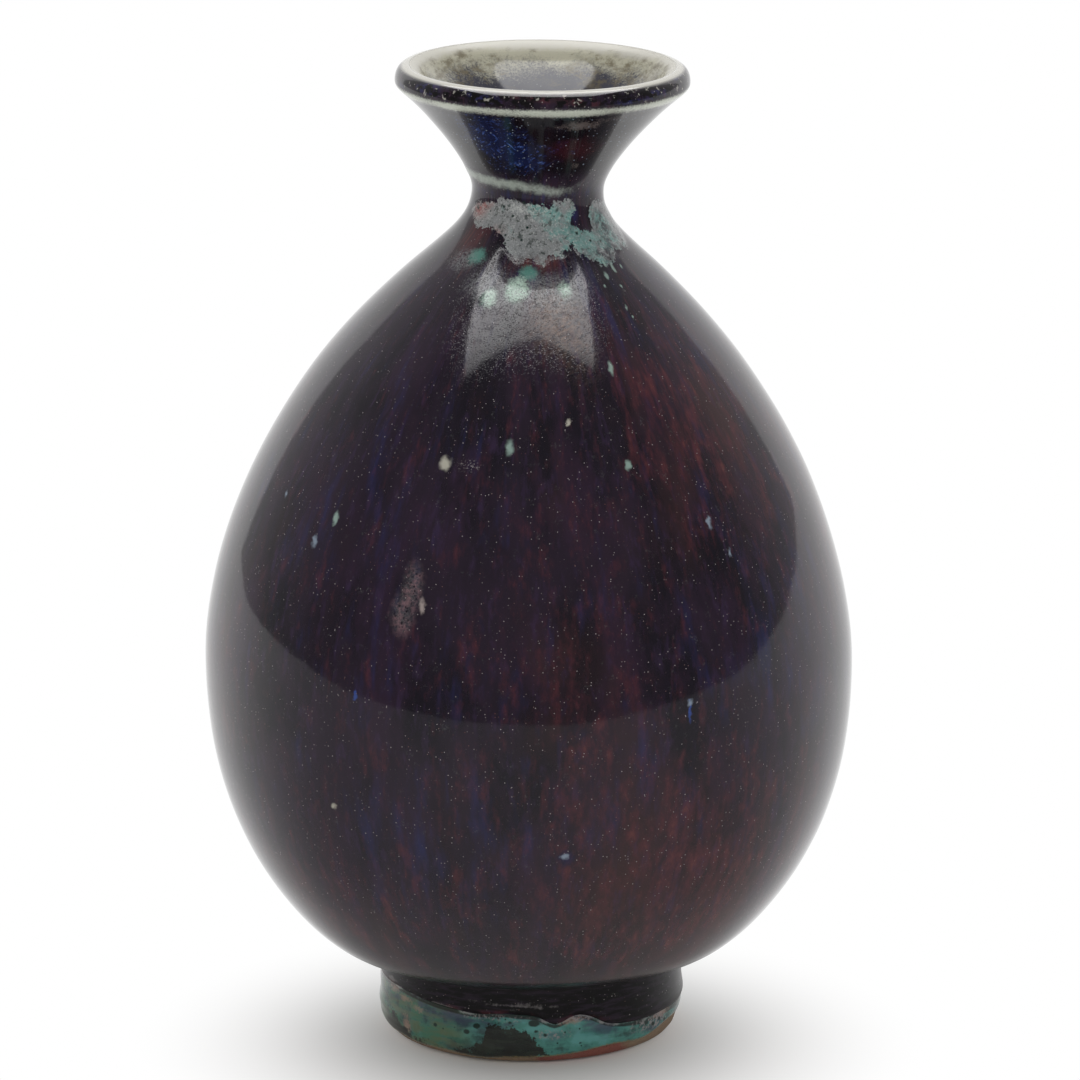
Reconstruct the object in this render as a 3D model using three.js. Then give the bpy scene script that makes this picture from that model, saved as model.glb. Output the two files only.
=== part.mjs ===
// Small stoneware bottle vase: egg-shaped belly, narrow waist, trumpet mouth, low turned foot ring.
// The clay is thrown and turned in one piece, and the other solids are the coats of glaze fired onto it.
// Millimetres, +Z up. The origin is on the floor, in the middle of the foot ring.

import * as THREE from 'three';

// Foot ring, radii of the bare clay
const ringFaceOuterRadius = 13.4;
const ringFaceWidth = 2.2;
const footRadius = 14.9;
const footTopRadius = 14.6;
const footEdgeHeight = 2.8;
const footFilletRadius = 1.6;
const wellDepth = 5.0;
const wellCornerRadius = 1.2;
const ringInnerBevel = 0.5;

// Belly, waist and mouth: radii of the clay, and each height from the one below it
const shelfHeight = 10.1;
const shelfRadius = 18.6;
const widestRadius = 32.4;
const widestRise = 29.05;
const waistRadius = 6.3;
const waistRise = 48.4;
const flareRadius = 14.25;
const flareRise = 10.6;
const lipRadius = 14.45;
const lipRise = 1.65;
const crestRadius = 13.3;

// Where the shoulder turns into the neck, and the slope there, up from level
const shoulderRadius = 13.05;
const shoulderDrop = 8.95;
const shoulderDegrees = 42.9;
const flareDegrees = 41.2;

// How far each curve keeps its direction as it leaves a named point
const tuckPull = 1.8;
const bellyPullDown = 20.2;
const bellyPullUp = 9.0;
const shoulderPullDown = 20.3;
const shoulderPullUp = 6.2;
const waistPullDown = 3.25;
const waistPullUp = 2.3;
const flarePull = 5.2;
const lipCornerHeight = 0.45;
const lipBandPull = 0.9;
const crestPull = 0.65;

// Clay thickness of the wall, and of the floor over the well
const wallAtFlare = 1.7;
const wallAtWaist = 1.9;
const wallAtWidest = 2.6;
const wallAtShelf = 3.2;
const floorThickness = 5.0;
const floorPullOut = 9.0;
const floorPullUp = 6.0;

// Coats of glaze
const glazeAtCrest = 0.2;
const glazeAtFlare = 0.3;
const glazeAtWaist = 0.4;
const glazeAtWidest = 0.55;
const glazeAtShelf = 0.8;
const glazeAtFoot = 0.45;
const linerThickness = 0.35;
const bandThickness = 0.4;
const bandEdgeThickness = 0.12;
const baseGlazeThickness = 0.25;
const baseGlazeMargin = 1.0;
const glazeLineHeight = 5.4;

// The mouth has slumped a little to one side while soft: the lean of its centre, and where it begins
const mouthLean = 1.4;
const leanStartHeight = 66;

// Facets round the pot, and steps along each stretch of the outline
const facets = 36;
const steps = {
  edge: 4, fillet: 2, lowerBelly: 8, upperBelly: 7, neck: 6, flare: 7, corner: 2, band: 4, crest: 3, floor: 5,
};

// Step of a stretch at which something starts or ends: the inside wall follows the outside
// from the lower belly to the flare, and the turquoise band starts on the foot ring's rounded edge
const stepAt = { wallStart: 3, wallEnd: 6, bandStart: 2 };

// Heights above the floor, worked out from the rises
const widestHeight = shelfHeight + widestRise;
const waistHeight = widestHeight + waistRise;
const flareHeight = waistHeight + flareRise;
const crestHeight = flareHeight + lipRise;
const floorHeight = wellDepth + floorThickness;
const ringFaceInnerRadius = ringFaceOuterRadius - ringFaceWidth;
const wellRadius = ringFaceInnerRadius - ringInnerBevel;

const point = (radius, height) => new THREE.Vector2(radius, height);

// A point that lies a distance away from another, in a direction given in degrees up from level
function pointFrom(start, degrees, distance) {
  const angle = THREE.MathUtils.degToRad(degrees);
  return point(start.x + distance * Math.cos(angle), start.y + distance * Math.sin(angle));
}

// Stations along a curve: where the surface is, and which way it faces
function stationsAlong(curve, count) {
  const stations = [];
  for (let i = 0; i <= count; i += 1) {
    const along = curve.getTangent(i / count);
    stations.push({ at: curve.getPoint(i / count), out: point(along.y, -along.x) });
  }
  return stations;
}

function bend(a, b, c, d, count) {
  return stationsAlong(new THREE.CubicBezierCurve(a, b, c, d), count);
}

function straight(a, b) {
  return stationsAlong(new THREE.LineCurve(a, b), 1);
}

// Runs of stations end to end, without the repeated point where two runs meet
function join(...runs) {
  return runs.flatMap((run, i) => (i === 0 ? run : run.slice(1)));
}

// The points that lie a thickness outside their stations; the thickness may change with height
function coated(stations, thicknessAt) {
  return stations.map(({ at, out }) => at.clone().addScaledVector(out, thicknessAt(at.y)));
}

// A value that changes evenly with height between named stops, lowest first
function graded(stops) {
  return (height) => {
    const next = stops.findIndex(([stop]) => stop > height);
    if (next === 0) return stops[0][1];
    if (next < 0) return stops[stops.length - 1][1];
    const [lowHeight, low] = stops[next - 1];
    const [highHeight, high] = stops[next];
    return THREE.MathUtils.mapLinear(height, lowHeight, highHeight, low, high);
  };
}

// Outside of the foot ring, from its flat face up to the shelf under the belly
const footEdgeTop = point(footRadius, footEdgeHeight);
const footWallTop = point(footTopRadius, shelfHeight - footFilletRadius);
const glazeLineShare = (glazeLineHeight - footEdgeTop.y) / (footWallTop.y - footEdgeTop.y);
const glazeLine = footEdgeTop.clone().lerp(footWallTop, glazeLineShare);
const footEdge = bend(
  point(ringFaceOuterRadius, 0),
  point(ringFaceOuterRadius + (footRadius - ringFaceOuterRadius) * 0.7, 0),
  point(footRadius, footEdgeHeight * 0.4),
  footEdgeTop,
  steps.edge,
);
const footWallLow = straight(footEdgeTop, glazeLine);
const footWallHigh = straight(glazeLine, footWallTop);
const filletEnd = point(footTopRadius + footFilletRadius, shelfHeight);
const footFillet = bend(
  footWallTop,
  point(footTopRadius, shelfHeight - footFilletRadius * 0.45),
  point(footTopRadius + footFilletRadius * 0.45, shelfHeight),
  filletEnd,
  steps.fillet,
);

// Outside of the belly, shoulder, neck and trumpet mouth, upward
const tuck = point(shelfRadius, shelfHeight);
const widest = point(widestRadius, widestHeight);
const shoulder = point(shoulderRadius, waistHeight - shoulderDrop);
const waist = point(waistRadius, waistHeight);
const flareEnd = point(flareRadius, flareHeight);
const shelf = straight(filletEnd, tuck);
const lowerBelly = bend(
  tuck,
  pointFrom(tuck, 0, tuckPull),
  pointFrom(widest, -90, bellyPullDown),
  widest,
  steps.lowerBelly,
);
const upperBelly = bend(
  widest,
  pointFrom(widest, 90, bellyPullUp),
  pointFrom(shoulder, -shoulderDegrees, shoulderPullDown),
  shoulder,
  steps.upperBelly,
);
const neck = bend(
  shoulder,
  pointFrom(shoulder, 180 - shoulderDegrees, shoulderPullUp),
  pointFrom(waist, -90, waistPullDown),
  waist,
  steps.neck,
);
const flare = bend(
  waist,
  pointFrom(waist, 90, waistPullUp),
  pointFrom(flareEnd, flareDegrees, -flarePull),
  flareEnd,
  steps.flare,
);

// The lip: a corner under it, an upright turned band, and a rounded crest
const bandFoot = point(lipRadius, flareHeight + lipCornerHeight);
const crest = point(crestRadius, crestHeight);
const lipCorner = bend(
  flareEnd,
  pointFrom(flareEnd, flareDegrees, lipCornerHeight / 2),
  pointFrom(bandFoot, -90, lipCornerHeight / 3),
  bandFoot,
  steps.corner,
);
const lipBand = bend(
  bandFoot,
  pointFrom(bandFoot, 90, lipBandPull),
  pointFrom(crest, 0, crestPull),
  crest,
  steps.band,
);

// Inside of the wall: the outside moved in by the clay's thickness, from low on the belly up to the mouth
const wallThicknessAt = graded([
  [shelfHeight, wallAtShelf],
  [widestHeight, wallAtWidest],
  [waistHeight, wallAtWaist],
  [flareHeight, wallAtFlare],
]);
const walled = join(
  lowerBelly.slice(stepAt.wallStart),
  upperBelly,
  neck,
  flare.slice(0, stepAt.wallEnd + 1),
);
const insideWall = walled.map(({ at, out }) => ({
  at: at.clone().addScaledVector(out, -wallThicknessAt(at.y)),
  out: out.clone().negate(),
})).reverse();

// Direction of travel down the inside at a station, found from the way the surface faces
const travel = ({ out }) => point(-out.y, out.x);

const wallTop = insideWall[0];
const wallFoot = insideWall[insideWall.length - 1];
const mouthEdge = bend(
  crest,
  pointFrom(crest, 180, crestPull),
  wallTop.at.clone().addScaledVector(travel(wallTop), -crestPull),
  wallTop.at,
  steps.crest,
);
const floor = bend(
  wallFoot.at,
  wallFoot.at.clone().addScaledVector(travel(wallFoot), floorPullUp),
  point(floorPullOut, floorHeight),
  point(0, floorHeight),
  steps.floor,
);

// Under the foot: the well's ceiling, its rounded corner, its wall and the bevel down to the ring's flat face
const wellCeilingEdge = point(wellRadius - wellCornerRadius, wellDepth);
const well = [
  point(0, wellDepth),
  wellCeilingEdge,
  pointFrom(point(wellCeilingEdge.x, wellDepth - wellCornerRadius), 45, wellCornerRadius),
  point(wellRadius, wellDepth - wellCornerRadius),
  point(wellRadius, ringInnerBevel),
  point(ringFaceInnerRadius, 0),
];

// The glazed stretches of the clay's surface
const bandStations = join(footEdge.slice(stepAt.bandStart), footWallLow);
const bandThicknessAt = graded([
  [bandStations[0].at.y, bandEdgeThickness],
  [footEdgeHeight, bandThickness],
]);
const glazedOutside = join(
  footWallHigh, footFillet, shelf, lowerBelly, upperBelly, neck, flare, lipCorner, lipBand,
);
const glazedInside = join(mouthEdge, insideWall, floor);

const outerThicknessAt = graded([
  [glazeLineHeight, glazeAtFoot],
  [shelfHeight, glazeAtShelf],
  [widestHeight, glazeAtWidest],
  [waistHeight, glazeAtWaist],
  [flareHeight, glazeAtFlare],
  [crestHeight, glazeAtCrest],
]);

const linerThicknessAt = graded([
  [waistHeight, linerThickness],
  [crestHeight, glazeAtCrest],
]);

// Sideways shift of the pot's centre at a height
function leanAt(height) {
  const share = (height - leanStartHeight) / (crestHeight - leanStartHeight);
  return mouthLean * THREE.MathUtils.smoothstep(share, 0, 1);
}

// A solid turned from its profile, which runs anticlockwise round the solid's section
function turned(name, profile, colour, roughness) {
  const geometry = new THREE.LatheGeometry(profile, facets);
  geometry.rotateX(Math.PI / 2);
  const position = geometry.attributes.position;
  for (let i = 0; i < position.count; i += 1) {
    position.setX(i, position.getX(i) + leanAt(position.getZ(i)));
  }
  geometry.computeVertexNormals();
  const material = new THREE.MeshStandardMaterial({ color: colour, roughness, metalness: 0 });
  const mesh = new THREE.Mesh(geometry, material);
  mesh.name = name;
  return mesh;
}

// A closed coat on a stretch of the clay's surface: out along its face, back along the clay
function coat(name, stations, thicknessAt, colour, roughness) {
  const face = coated(stations, thicknessAt);
  const back = stations.map(({ at }) => at).reverse();
  return turned(name, [...face, ...back, face[0]], colour, roughness);
}

function makePot() {
  const outside = join(footEdge, footWallLow, glazedOutside).map(({ at }) => at);
  const inside = glazedInside.slice(1).map(({ at }) => at);
  return turned('stoneware_pot', [...well, ...outside, ...inside], 0xa27f63, 0.85);
}

function makeOuterGlaze() {
  return coat('outer_glaze', glazedOutside, outerThicknessAt, 0x20121b, 0.12);
}

function makeLinerGlaze() {
  const face = coated(glazedInside.slice(0, -1), linerThicknessAt);
  const back = glazedInside.map(({ at }) => at).reverse();
  const profile = [...face, point(0, floorHeight + linerThickness), ...back, face[0]];
  return turned('liner_glaze', profile, 0xb4baa6, 0.2);
}

function makeFootGlazeBand() {
  return coat('foot_glaze_band', bandStations, bandThicknessAt, 0x4a968c, 0.2);
}

function makeBaseGlaze() {
  const radius = wellCeilingEdge.x - baseGlazeMargin;
  const profile = [
    point(0, wellDepth - baseGlazeThickness),
    point(radius, wellDepth - baseGlazeThickness),
    point(radius, wellDepth),
    point(0, wellDepth),
  ];
  return turned('base_glaze', profile, 0x3b2b27, 0.3);
}

const vase = new THREE.Group();
vase.add(makePot(), makeOuterGlaze(), makeLinerGlaze(), makeFootGlazeBand(), makeBaseGlaze());

export default vase;
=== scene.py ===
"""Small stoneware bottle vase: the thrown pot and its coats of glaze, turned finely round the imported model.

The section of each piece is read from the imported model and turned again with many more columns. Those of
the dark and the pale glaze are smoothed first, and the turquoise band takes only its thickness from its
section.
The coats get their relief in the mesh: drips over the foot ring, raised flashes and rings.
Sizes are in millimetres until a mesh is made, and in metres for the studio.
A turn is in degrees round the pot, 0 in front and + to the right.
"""

import math

import bpy
import numpy as np
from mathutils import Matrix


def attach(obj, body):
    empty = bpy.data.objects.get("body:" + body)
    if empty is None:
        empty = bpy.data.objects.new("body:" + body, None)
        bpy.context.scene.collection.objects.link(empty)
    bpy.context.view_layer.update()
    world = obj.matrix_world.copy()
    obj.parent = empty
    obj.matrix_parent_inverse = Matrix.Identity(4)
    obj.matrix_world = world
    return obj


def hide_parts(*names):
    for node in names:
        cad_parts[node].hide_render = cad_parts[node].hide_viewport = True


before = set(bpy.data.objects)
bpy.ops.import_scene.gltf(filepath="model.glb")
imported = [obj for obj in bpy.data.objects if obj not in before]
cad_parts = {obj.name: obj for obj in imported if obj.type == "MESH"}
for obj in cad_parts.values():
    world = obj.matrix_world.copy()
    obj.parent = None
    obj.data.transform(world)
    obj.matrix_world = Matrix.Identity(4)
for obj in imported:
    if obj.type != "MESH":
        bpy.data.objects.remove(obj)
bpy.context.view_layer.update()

MM = 0.001

# Fineness of the turned meshes: columns round the pot, and the distance between rows. That is given as the
# finest, then what is added where, each with the heights between which it comes in and goes out. The band has
# a number of rows instead. Rows nearer the middle than the hole's radius are left out, and a cap closes it.
COLUMNS = 400
BASE_COLUMNS = 120
OUTER_ROWS = (0.17, (0.2, (97, 95)), (0.98, (11, 16), (80, 72)))
OUTER_HIDDEN_ROWS = (0.9, (4.0, (12, 20), (80, 70)))
LINER_ROWS = (0.14, (1.6, (92, 80)))
LINER_HIDDEN_ROWS = (3.0,)
POT_ROWS = (0.22, (1.9, (6, 14)))
BASE_ROWS = (0.35,)
BAND_ROWS = 44
BAND_HIDDEN_ROWS = 6
MIDDLE_HOLE = 0.1

# Reading the imported model: decimals that are kept of a millimetre, and how near two heights are the same
DECIMALS = 3
SAME_HEIGHT = 0.002

# Camera of the photograph
CAMERA_PLACE = (0.00117, -0.766, 0.2489)
CAMERA_PITCH = 14.484
CAMERA_LENS = 260.2
CAMERA_SENSOR = 36.0

# How the pot has slumped in the kiln: the rim dips to the right, and its two sides stand out unevenly,
# given as (height, out on the left, out on the right)
RIM_TILT = 0.55
RIM_TILT_FROM = 86.0
RIM_TILT_FULL = 97.0
SIDES = (
    (0, 0.0, 0.4), (8, 0.0, 0.42), (13, -0.16, 0.24), (22, -0.18, 0.2), (31, -0.16, 0.06), (41, -0.1, -0.08),
    (51, -0.06, -0.14), (61, -0.19, 0.0), (71, -0.23, 0.0), (78, -0.16, -0.06), (84, -0.13, -0.16),
    (88.5, -0.03, -0.1), (93, 0.04, -0.05), (97, 0.02, 0.07), (101, 0.0, 0.06),
)

# Foot: the ragged line where the dark glaze stopped running, and the line of bare clay under the turquoise,
# each as (turn, height) chosen round the ring, and the turns to both sides over which such a line is eased
DRIP_LINE = (
    (-180, 4.9), (-150, 5.6), (-128, 4.3), (-104, 5.7), (-74, 5.7), (-61, 5.75), (-40, 5.3), (-28, 5.05),
    (-22, 4.9), (-15, 5.05), (-9, 5.25), (-3, 5.0), (3, 5.1), (6.5, 4.4), (10, 3.6), (13, 4.1), (16, 4.95),
    (20, 4.95), (24, 4.7), (28, 3.9), (31, 3.6), (40, 3.15), (50, 3.0), (62, 3.1),
    (76, 3.0), (88, 3.3), (104, 4.6), (130, 5.0), (152, 3.9), (168, 4.3), (180, 4.9),
)
BARE_LINE = (
    (-180, 1.2), (-140, 0.9), (-100, 1.1), (-66, 0.75), (-41, 0.6), (-29, 0.45), (-19, 0.35), (-3, 0.6),
    (12, 0.9), (28, 1.1), (48, 1.25), (60, 1.6), (72, 2.1), (86, 2.2), (100, 1.6), (130, 1.0), (160, 1.5),
    (180, 1.2),
)
LINE_EASING = (-4.0, -2.0, 2.0, 4.0)
FOOT_WALL_TOP = 8.5
FOOT_WALL_RADIUS_FROM = 13.0
DRIP_EDGE = 0.55
DRIP_SWELL = 0.12
DRIP_SWELL_MIDDLE = 0.7
DRIP_SWELL_REACH = 0.5
DRIP_SWELL_WHERE_LOW = (6.0, 3.4)
BRINK = (0.75, 0.3)
BAND_EDGE = 0.5
BAND_TUCK = 0.4
BAND_WANDER = 0.12
BAND_UNEVEN = 0.16
BAND_THINNEST = 0.02

# Shoulder: the opaque flashes, each as (turn, lower height, upper height) across it
NECK_FLASH = (
    (-70, 85.9, 85.9), (-62, 85.1, 86.7), (-50, 84.5, 87.0), (-36, 84.6, 87.4), (-25, 84.2, 87.6),
    (-17, 82.9, 87.5), (-10, 82.0, 87.3), (-4, 82.3, 87.2), (5, 81.8, 87.0), (10, 82.4, 86.9),
    (17, 82.5, 87.4), (24, 83.3, 87.5), (30, 86.2, 87.2), (35, 86.6, 86.6),
)
RUN_FLASH = (
    (22, 84.6, 84.6), (28, 82.6, 85.0), (35, 81.8, 84.5), (43, 81.5, 84.3), (50, 81.4, 84.3),
    (57, 82.4, 82.4),
)
SIDE_FLASH = (
    (47, 85.4, 85.4), (52, 82.4, 86.6), (60, 82.3, 86.9), (72, 82.1, 86.6), (84, 83.4, 86.2),
    (96, 84.9, 84.9),
)
BACK_FLASH = (
    (128, 84.9, 84.9), (140, 83.2, 86.7), (152, 82.2, 86.9), (163, 83.5, 86.4), (171, 84.8, 84.8),
)
FLASHES = (NECK_FLASH, RUN_FLASH, SIDE_FLASH, BACK_FLASH)
FLASH_EDGE = 0.35

# How far the places of the dark glaze stand out
FLASH_RAISE = 0.07
MINT_RAISE = 0.04
RING_RAISE = 0.03
LIP_LINE_RAISE = 0.04
UNEVEN_RAISE = 0.006
RAISED_FROM = (9, 14)
RAISED_UP_TO = (99.2, 99.9)

# Heights between which parts of the dark glaze come in, and go out
FLARE_IN, FLARE_OUT = (89.5, 91), (97.8, 97.2)
LIP_BAND_IN, LIP_BAND_OUT = (98.3, 98.7), (99.9, 99.6)
PITTED_IN, PITTED_OUT = (70, 77), (90, 86)
PITTED_TURN, PITTED_SPREAD = -3, 34
# Under the belly the foot wall's glaze is painted nearly black: partly its own colour, partly painted shade.
FOOT_IN = (11.5, 9.5)

# Soft pale rings where the glaze ran thin: on the neck, under the lip and on the crest
NECK_RING = ((-180, 88.9), (-120, 89.3), (-69, 89.6), (-43, 89.3), (-15, 89.1), (1, 88.75), (12, 88.45),
             (24, 88.5), (60, 89.2), (120, 88.8), (180, 88.9))
NECK_RING_WEIGHT = ((-180, 0.5), (-90, 0.9), (-60, 1.0), (-10, 0.95), (10, 0.8), (22, 0.5), (34, 0.15),
                    (80, 0.15), (130, 0.6), (180, 0.5))
NECK_RING_HALF = 0.55
LIP_LINE_HEIGHT = 98.0
LIP_LINE_HALF_BELOW = 0.6
LIP_LINE_HALF_ABOVE = 0.36
CREST_LINE_HEIGHT = 99.82
CREST_LINE_SOFT = 0.1

# Round blots in the dark glaze: (turn, height, half width, half height), and the depth far outside them all
FAR_OUTSIDE = -9.0
OUTER_BLOTS = {
    "mint": ((-7.5, 79.8, 1.12, 0.95), (-19.2, 79.0, 0.75, 0.68), (14.5, 79.7, 0.6, 0.55)),
    "green": ((-2.7, 81.1, 0.85, 0.55), (-36.0, 82.2, 0.85, 0.6)),
    "halo": ((-44, 81.7, 1.5, 0.8), (-24, 80.0, 1.8, 1.0), (4, 80.0, 3.4, 1.0), (-12, 79.0, 2.0, 0.8),
             (14, 79.5, 1.4, 1.2)),
    "foam": ((-17, 6.5, 2.2, 0.13), (-4, 6.45, 2.0, 0.16), (6, 6.2, 0.7, 0.12), (-36, 5.6, 1.6, 0.12),
             (-66, 6.4, 0.9, 0.2), (110, 6.3, 1.4, 0.14), (-125, 6.0, 1.2, 0.14)),
}

# Foot: burnt patches as a flash is given, blots as above, and bright and dim zones as the dark glaze's zones
BURNT_PATCH = (
    (-30, 0.7, 0.9), (-26, 0.3, 1.3), (-21, 0.2, 1.7), (-18, 0.2, 2.2), (-16.5, 0.2, 3.4), (-14.8, 0.2, 4.5),
    (-12, 0.2, 4.7), (-10, 0.2, 3.9), (-6, 0.2, 4.1), (-3.5, 0.2, 3.8), (-1, 0.2, 4.0), (0.6, 0.2, 3.2),
    (2.2, 0.3, 3.1), (3.2, 0.5, 2.2), (4.6, 0.8, 2.0), (6, 0.9, 1.4), (8, 1.0, 1.0),
)
SOOTY_PATCH = (
    (-78, 0.6, 0.8), (-71, 0.4, 2.3), (-64, 0.3, 2.9), (-58, 0.3, 2.3), (-51, 0.3, 1.4), (-42, 0.4, 1.0),
    (-34, 0.5, 0.7),
)
FOOT_BLOTS = {
    "spots": (
        (-24, 3.3, 0.33, 0.26), (-20, 4.0, 0.36, 0.28), (-7, 4.6, 0.2, 0.16), (2.1, 4.55, 0.55, 0.36),
        (6.4, 3.3, 0.2, 0.18), (2.9, 3.7, 0.2, 0.16), (20, 2.2, 0.16, 0.14), (50, 2.9, 0.3, 0.24),
        (54, 2.5, 0.26, 0.22), (58, 2.8, 0.24, 0.2), (62, 2.4, 0.22, 0.2), (-38, 3.4, 0.24, 0.2),
        (120, 3.4, 0.4, 0.3), (127, 2.7, 0.2, 0.2), (170, 3.0, 0.35, 0.28), (-115, 3.2, 0.4, 0.3),
        (-140, 2.6, 0.22, 0.2), (95, 2.4, 0.2, 0.18),
    ),
    "pink": ((-54.5, 2.2, 0.55, 0.95), (-64, 5.6, 0.9, 0.3), (-56, 5.1, 0.6, 0.22), (16, 4.6, 1.0, 0.3),
             (60, 3.2, 1.0, 0.3), (140, 4.4, 1.3, 0.3), (-100, 4.9, 1.0, 0.35), (-47, 4.5, 0.5, 0.2)),
    "mottle": ((54, 2.7, 2.6, 0.75), (17, 4.75, 1.5, 0.3), (10.5, 3.35, 1.2, 0.35), (-12, 4.95, 1.5, 0.2)),
}
FOOT_BRIGHT = (
    (24, 2.7, 13, 1.2, 1.0), (3, 4.0, 8, 0.8, 1.0), (-9, 4.9, 6, 0.4, 0.8), (-46, 2.2, 8, 0.8, 0.5),
    (150, 3.2, 26, 1.2, 0.9), (-110, 3.6, 22, 1.0, 0.8), (95, 3.0, 14, 1.0, 0.7),
)
FOOT_DIM = (
    (-24, 2.2, 8, 1.4, 1.0), (-62, 3.4, 9, 1.0, 0.7), (10, 2.0, 4, 0.7, 0.6), (44, 3.0, 7, 0.8, 0.7),
    (120, 2.4, 12, 1.4, 0.9), (-150, 3.2, 18, 1.4, 0.8), (-82, 2.0, 10, 1.0, 0.7),
)

# Small flecks in the dark glaze, laid in this order: (turn, height, half width, half height)
FLECKS = {
    "blue glow": ((6.8, 26.7, 0.9, 0.9),),
    "bright blue": ((-31.3, 42.5, 0.26, 0.5), (29.0, 41.2, 0.2, 1.3)),
    # The pale pink fleck at the right of the mottled spot is a painted highlight.
    "painted highlight": ((-19.7, 51.9, 0.38, 0.75),),
    "pale green": (
        (41.6, 81.4, 0.16, 0.4), (43.4, 79.5, 0.11, 0.26), (52.0, 80.9, 0.16, 0.36), (45.7, 81.0, 0.2, 0.55),
        (38.6, 80.5, 0.22, 0.5), (39.9, 77.7, 0.17, 0.36), (40.6, 76.9, 0.12, 0.26), (34.8, 79.7, 0.14, 0.3),
        (-4.3, 66.5, 0.45, 0.85), (23.1, 64.6, 0.35, 0.6), (24.9, 73.0, 0.3, 0.8), (-42.6, 58.6, 0.35, 0.75),
        (148.0, 62.0, 0.6, 0.9),
    ),
    "blue white": (
        (-46.3, 56.1, 0.4, 0.65), (-60.3, 59.3, 0.3, 0.4), (39.1, 58.4, 0.3, 0.7), (42.4, 55.4, 0.25, 0.55),
        (29.0, 41.9, 0.4, 0.4), (6.5, 26.9, 0.45, 0.35), (112.0, 47.0, 0.45, 0.6),
    ),
    "cream": (
        (-19.1, 64.8, 0.6, 0.7), (-36.6, 30.5, 0.35, 0.45), (10.0, 68.6, 0.3, 0.35),
        (-132.0, 55.0, 0.4, 0.7),
    ),
    "pit": (
        (-25.0, 87.0, 0.2, 0.2), (-12.0, 87.3, 0.22, 0.2), (-9.0, 85.9, 0.2, 0.22), (10.6, 85.4, 0.22, 0.32),
        (5.0, 84.6, 0.2, 0.2), (-11.6, 84.1, 0.3, 0.3), (16.6, 86.6, 0.2, 0.25), (20.9, 86.0, 0.18, 0.2),
    ),
}
MOTTLED_SPOT = ((-22.0, 53.4, 1.15, 2.6), (-23.2, 51.0, 1.35, 2.3))
SCUFFED_SPOT = (-13.7, 64.8, 1.3, 0.8)

# Soft zones of the dark glaze: (turn, height, spread in degrees, spread in height, weight)
OUTER_ZONES = {
    "wine": (
        (44, 67, 26, 11, 0.42), (38, 20, 34, 15, 0.5), (8, 40, 16, 20, 0.2), (-45, 16, 30, 10, 0.3),
        (19, 93.3, 18, 1.5, 0.75), (-48, 84, 12, 2.5, 0.7), (2, 81.8, 15, 0.9, 0.8), (105, 55, 28, 18, 0.5),
        (170, 25, 40, 18, 0.5), (-120, 70, 30, 14, 0.35), (-75, 40, 20, 14, 0.25),
    ),
    "blue": (
        (-34, 56, 26, 20, 0.22), (-6, 27, 24, 12, 0.28), (-27, 94.5, 17, 3.0, 1.0), (-6, 92.2, 14, 1.7, 0.8),
        (33, 86.1, 5, 1.0, 1.2), (0, 80.8, 26, 1.2, 0.55), (0, 88.0, 200, 0.5, 0.5), (28, 79, 12, 5, 0.5),
        (55, 45, 22, 16, 0.25), (150, 60, 35, 20, 0.45), (-140, 35, 30, 16, 0.45), (80, 75, 25, 6, 0.35),
    ),
    "verdant": ((34, 84, 16, 3, 1.0), (10, 86.2, 12, 1.6, 0.8), (-6, 87, 5, 0.6, 0.5),
                (62, 84.5, 12, 2, 0.9), (150, 84, 20, 2, 0.7)),
    "rosy": ((-57, 86.2, 9, 0.9, 1.0), (-47, 87.0, 6, 0.6, 0.8), (-30, 84.4, 5, 0.5, 0.6)),
    # white: the flashes' tops, where crackle and grain turn white: partly the flash's own crackle, partly
    # painted highlights.
    "white": ((-14, 86.7, 10, 0.6, 1.0), (4, 86.6, 6, 0.5, 0.6), (145, 86.2, 10, 0.6, 0.8)),
    "sheer": ((62, 84.4, 14, 2.4, 1.0), (44, 82.2, 10, 0.9, 0.9), (30, 85.0, 7, 1.2, 0.6),
              (150, 84, 25, 1, 0.6), (-4, 82.2, 12, 0.5, 0.7)),
    "amber": ((8, 77.4, 9, 2.2, 1.0), (15, 76, 6, 3, 0.6)),
    "toasted": ((18, 96.3, 13, 0.8, 1.0), (-8, 96.9, 8, 0.4, 0.5), (40, 97, 12, 0.5, 0.5),
                (24, 91.2, 5, 0.7, 0.8), (150, 96.0, 30, 1.0, 0.8)),
}
MOST_OF_ZONES = {"wine": 1.2, "blue": 1.2}

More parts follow.
